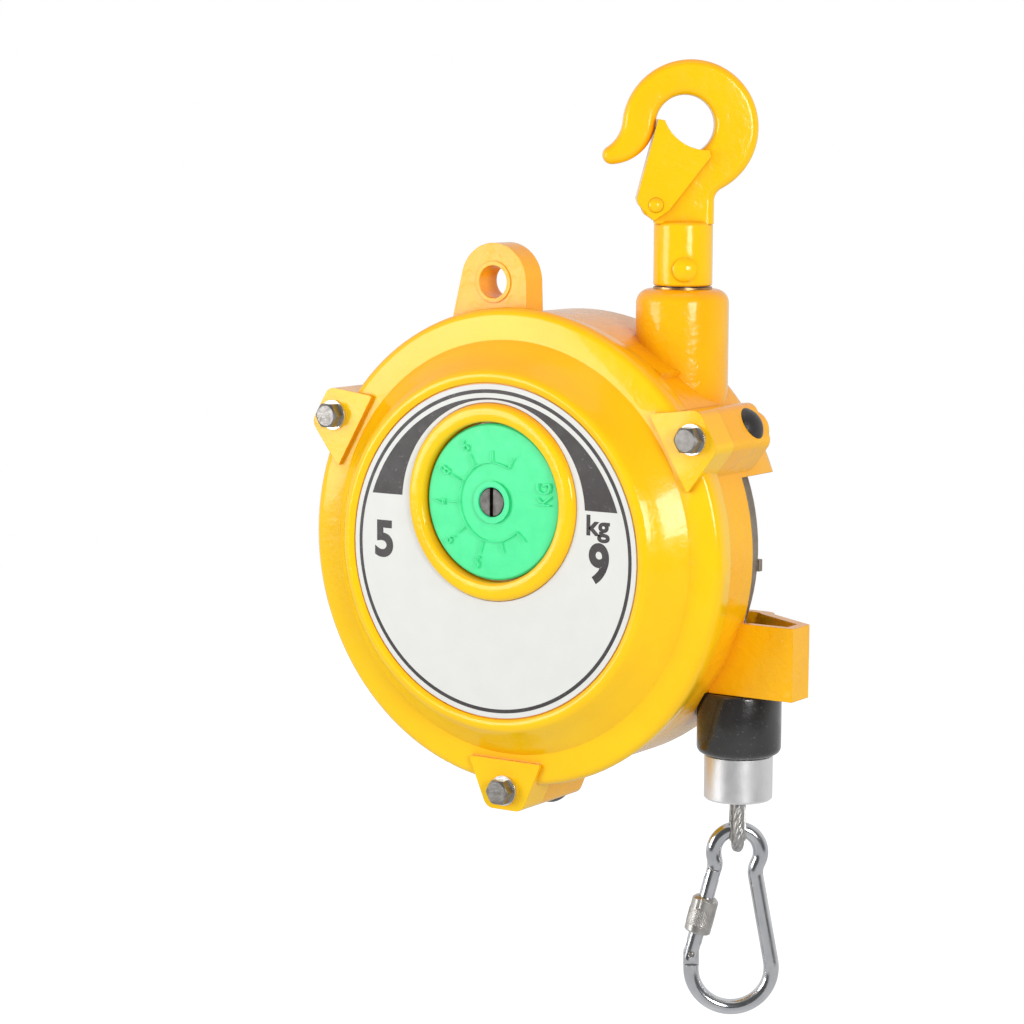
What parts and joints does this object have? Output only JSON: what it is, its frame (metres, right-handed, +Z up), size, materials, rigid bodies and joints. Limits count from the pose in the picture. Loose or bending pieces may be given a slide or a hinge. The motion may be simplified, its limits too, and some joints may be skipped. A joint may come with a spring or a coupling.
{
  "type": "tool_balancer",
  "caption": "Spring tool balancer with a swivelling safety hook, a green tension dial, a steel rope on an inner drum, a rubber buffer and a screw-gate carabiner",
  "frame": {"origin": "The highest point of the top hook's bowl, the seat that the support bears on; the hook's axis runs straight down from it", "axes": "+Z up along the hook axis, -Y out of the dial towards the operator, +X to the right of the dial"},
  "size_m": [0.2199, 0.0846, 0.4011],
  "materials": {
    "yellow_enamel": "enamelled",
    "painted_steel": "glossy",
    "label_film": "satin",
    "green_plastic": "glossy",
    "black_plastic": "satin",
    "black_rubber": "glossy",
    "bright_steel": "satin",
    "zinc_steel": "satin",
    "dark_steel": "satin",
    "spring_steel": "polished",
    "steel_rope": "stranded",
    "cast_aluminium": "cast",
    "turned_aluminium": "machined",
    "bronze": "machined",
    "white_nylon": "satin"
  },
  "bodies": {
    "hook": {"top_hook": "painted_steel", "swivel_stem": "dark_steel", "hook_cross_pin": "painted_steel", "swivel_nut": "zinc_steel", "thrust_bearing": "bright_steel", "latch_pin": "painted_steel"},
    "latch": {"hook_latch": "painted_steel", "latch_spring": "spring_steel"},
    "housing": {"rear_housing": "yellow_enamel", "front_cover": "yellow_enamel", "label_plate": "label_film", "lug_bolts": "zinc_steel", "lug_washers": "zinc_steel", "lug_plugs": "black_plastic", "arbor_bush": "bronze", "rope_guide_bush": "white_nylon", "swivel_washer": "bronze"},
    "drum": {"rope_drum": "cast_aluminium", "spring_cover": "cast_aluminium", "spring_cover_screws": "zinc_steel", "front_drum_bearing": "bright_steel", "rear_drum_bearing": "bright_steel", "mainspring": "spring_steel", "wound_rope": "steel_rope"},
    "arbor": {"arbor": "bright_steel", "worm_wheel": "bronze", "arbor_pinion": "dark_steel"},
    "worm": {"worm_shaft": "dark_steel"},
    "dial": {"tension_dial": "green_plastic", "dial_shaft": "dark_steel", "dial_gear": "dark_steel"},
    "load_end": {"rubber_buffer": "black_rubber", "rope_sleeve": "turned_aluminium", "rope_tail": "steel_rope", "rope_loop": "steel_rope", "rope_thimble": "zinc_steel", "rope_run": "steel_rope"},
    "carabiner": {"carabiner_body": "bright_steel", "gate_pin": "zinc_steel"},
    "gate": {"carabiner_gate": "bright_steel"},
    "gate_sleeve": {"screw_sleeve": "zinc_steel"}
  },
  "joints": [
    {"name": "hook_swivel", "type": "hinge", "parent": "hook", "child": "housing", "pos_m": [0, 0, -0.083], "axis": [0, 0, 1], "continuous": true},
    {"name": "latch_hinge", "type": "hinge", "parent": "hook", "child": "latch", "pos_m": [-0.00998, -0.00648, -0.0453], "axis": [-0.5446, 0.8387, 0], "range_deg": [0, 30], "stiffness_Nm_per_rad": 0.05, "springref_deg": -28.65},
    {"name": "drum_spin", "type": "hinge", "parent": "housing", "child": "drum", "pos_m": [-0.0565, -0.058, -0.189], "axis": [0, 1, 0], "range_deg": [0, 993], "stiffness_Nm_per_rad": 0.075, "springref_deg": -3311.7},
    {"name": "cable_travel", "type": "slide", "parent": "housing", "child": "load_end", "axis": [0, 0, -1], "range_m": [0, 1.5], "deforming": ["rope_run"]},
    {"name": "arbor_turn", "type": "hinge", "parent": "housing", "child": "arbor", "pos_m": [-0.0565, -0.058, -0.189], "axis": [0, 1, 0], "range_deg": [0, 733]},
    {"name": "dial_turn", "type": "hinge", "parent": "housing", "child": "dial", "pos_m": [-0.0565, -0.058, -0.1682], "axis": [0, 1, 0], "range_deg": [-272, 2]},
    {"name": "worm_turn", "type": "hinge", "parent": "housing", "child": "worm", "pos_m": [-0.087, -0.0395, -0.189], "axis": [0, 0, 1], "range_deg": [-22000, 22000]},
    {"name": "carabiner_swing", "type": "hinge", "parent": "load_end", "child": "carabiner", "pos_m": [0.03, 0, -0.30625], "axis": [0.8387, 0.5446, 0], "range_deg": [-70, 70]},
    {"name": "gate_hinge", "type": "hinge", "parent": "carabiner", "child": "gate", "pos_m": [0.01423, -0.01024, -0.35985], "axis": [-0.5446, 0.8387, 0], "range_deg": [0, 19], "stiffness_Nm_per_rad": 0.05, "springref_deg": -17.19},
    {"name": "sleeve_travel", "type": "slide", "parent": "gate", "child": "gate_sleeve", "axis": [0.2059, 0.1337, 0.9694], "range_m": [0, 0.0125]}
  ],
  "couplings": [
    {"joint": "cable_travel", "follows": "drum_spin", "m_per_rad": 0.0865},
    {"joint": "dial_turn", "follows": "arbor_turn", "ratio": -0.36842},
    {"joint": "worm_turn", "follows": "arbor_turn", "ratio": -30}
  ]
}
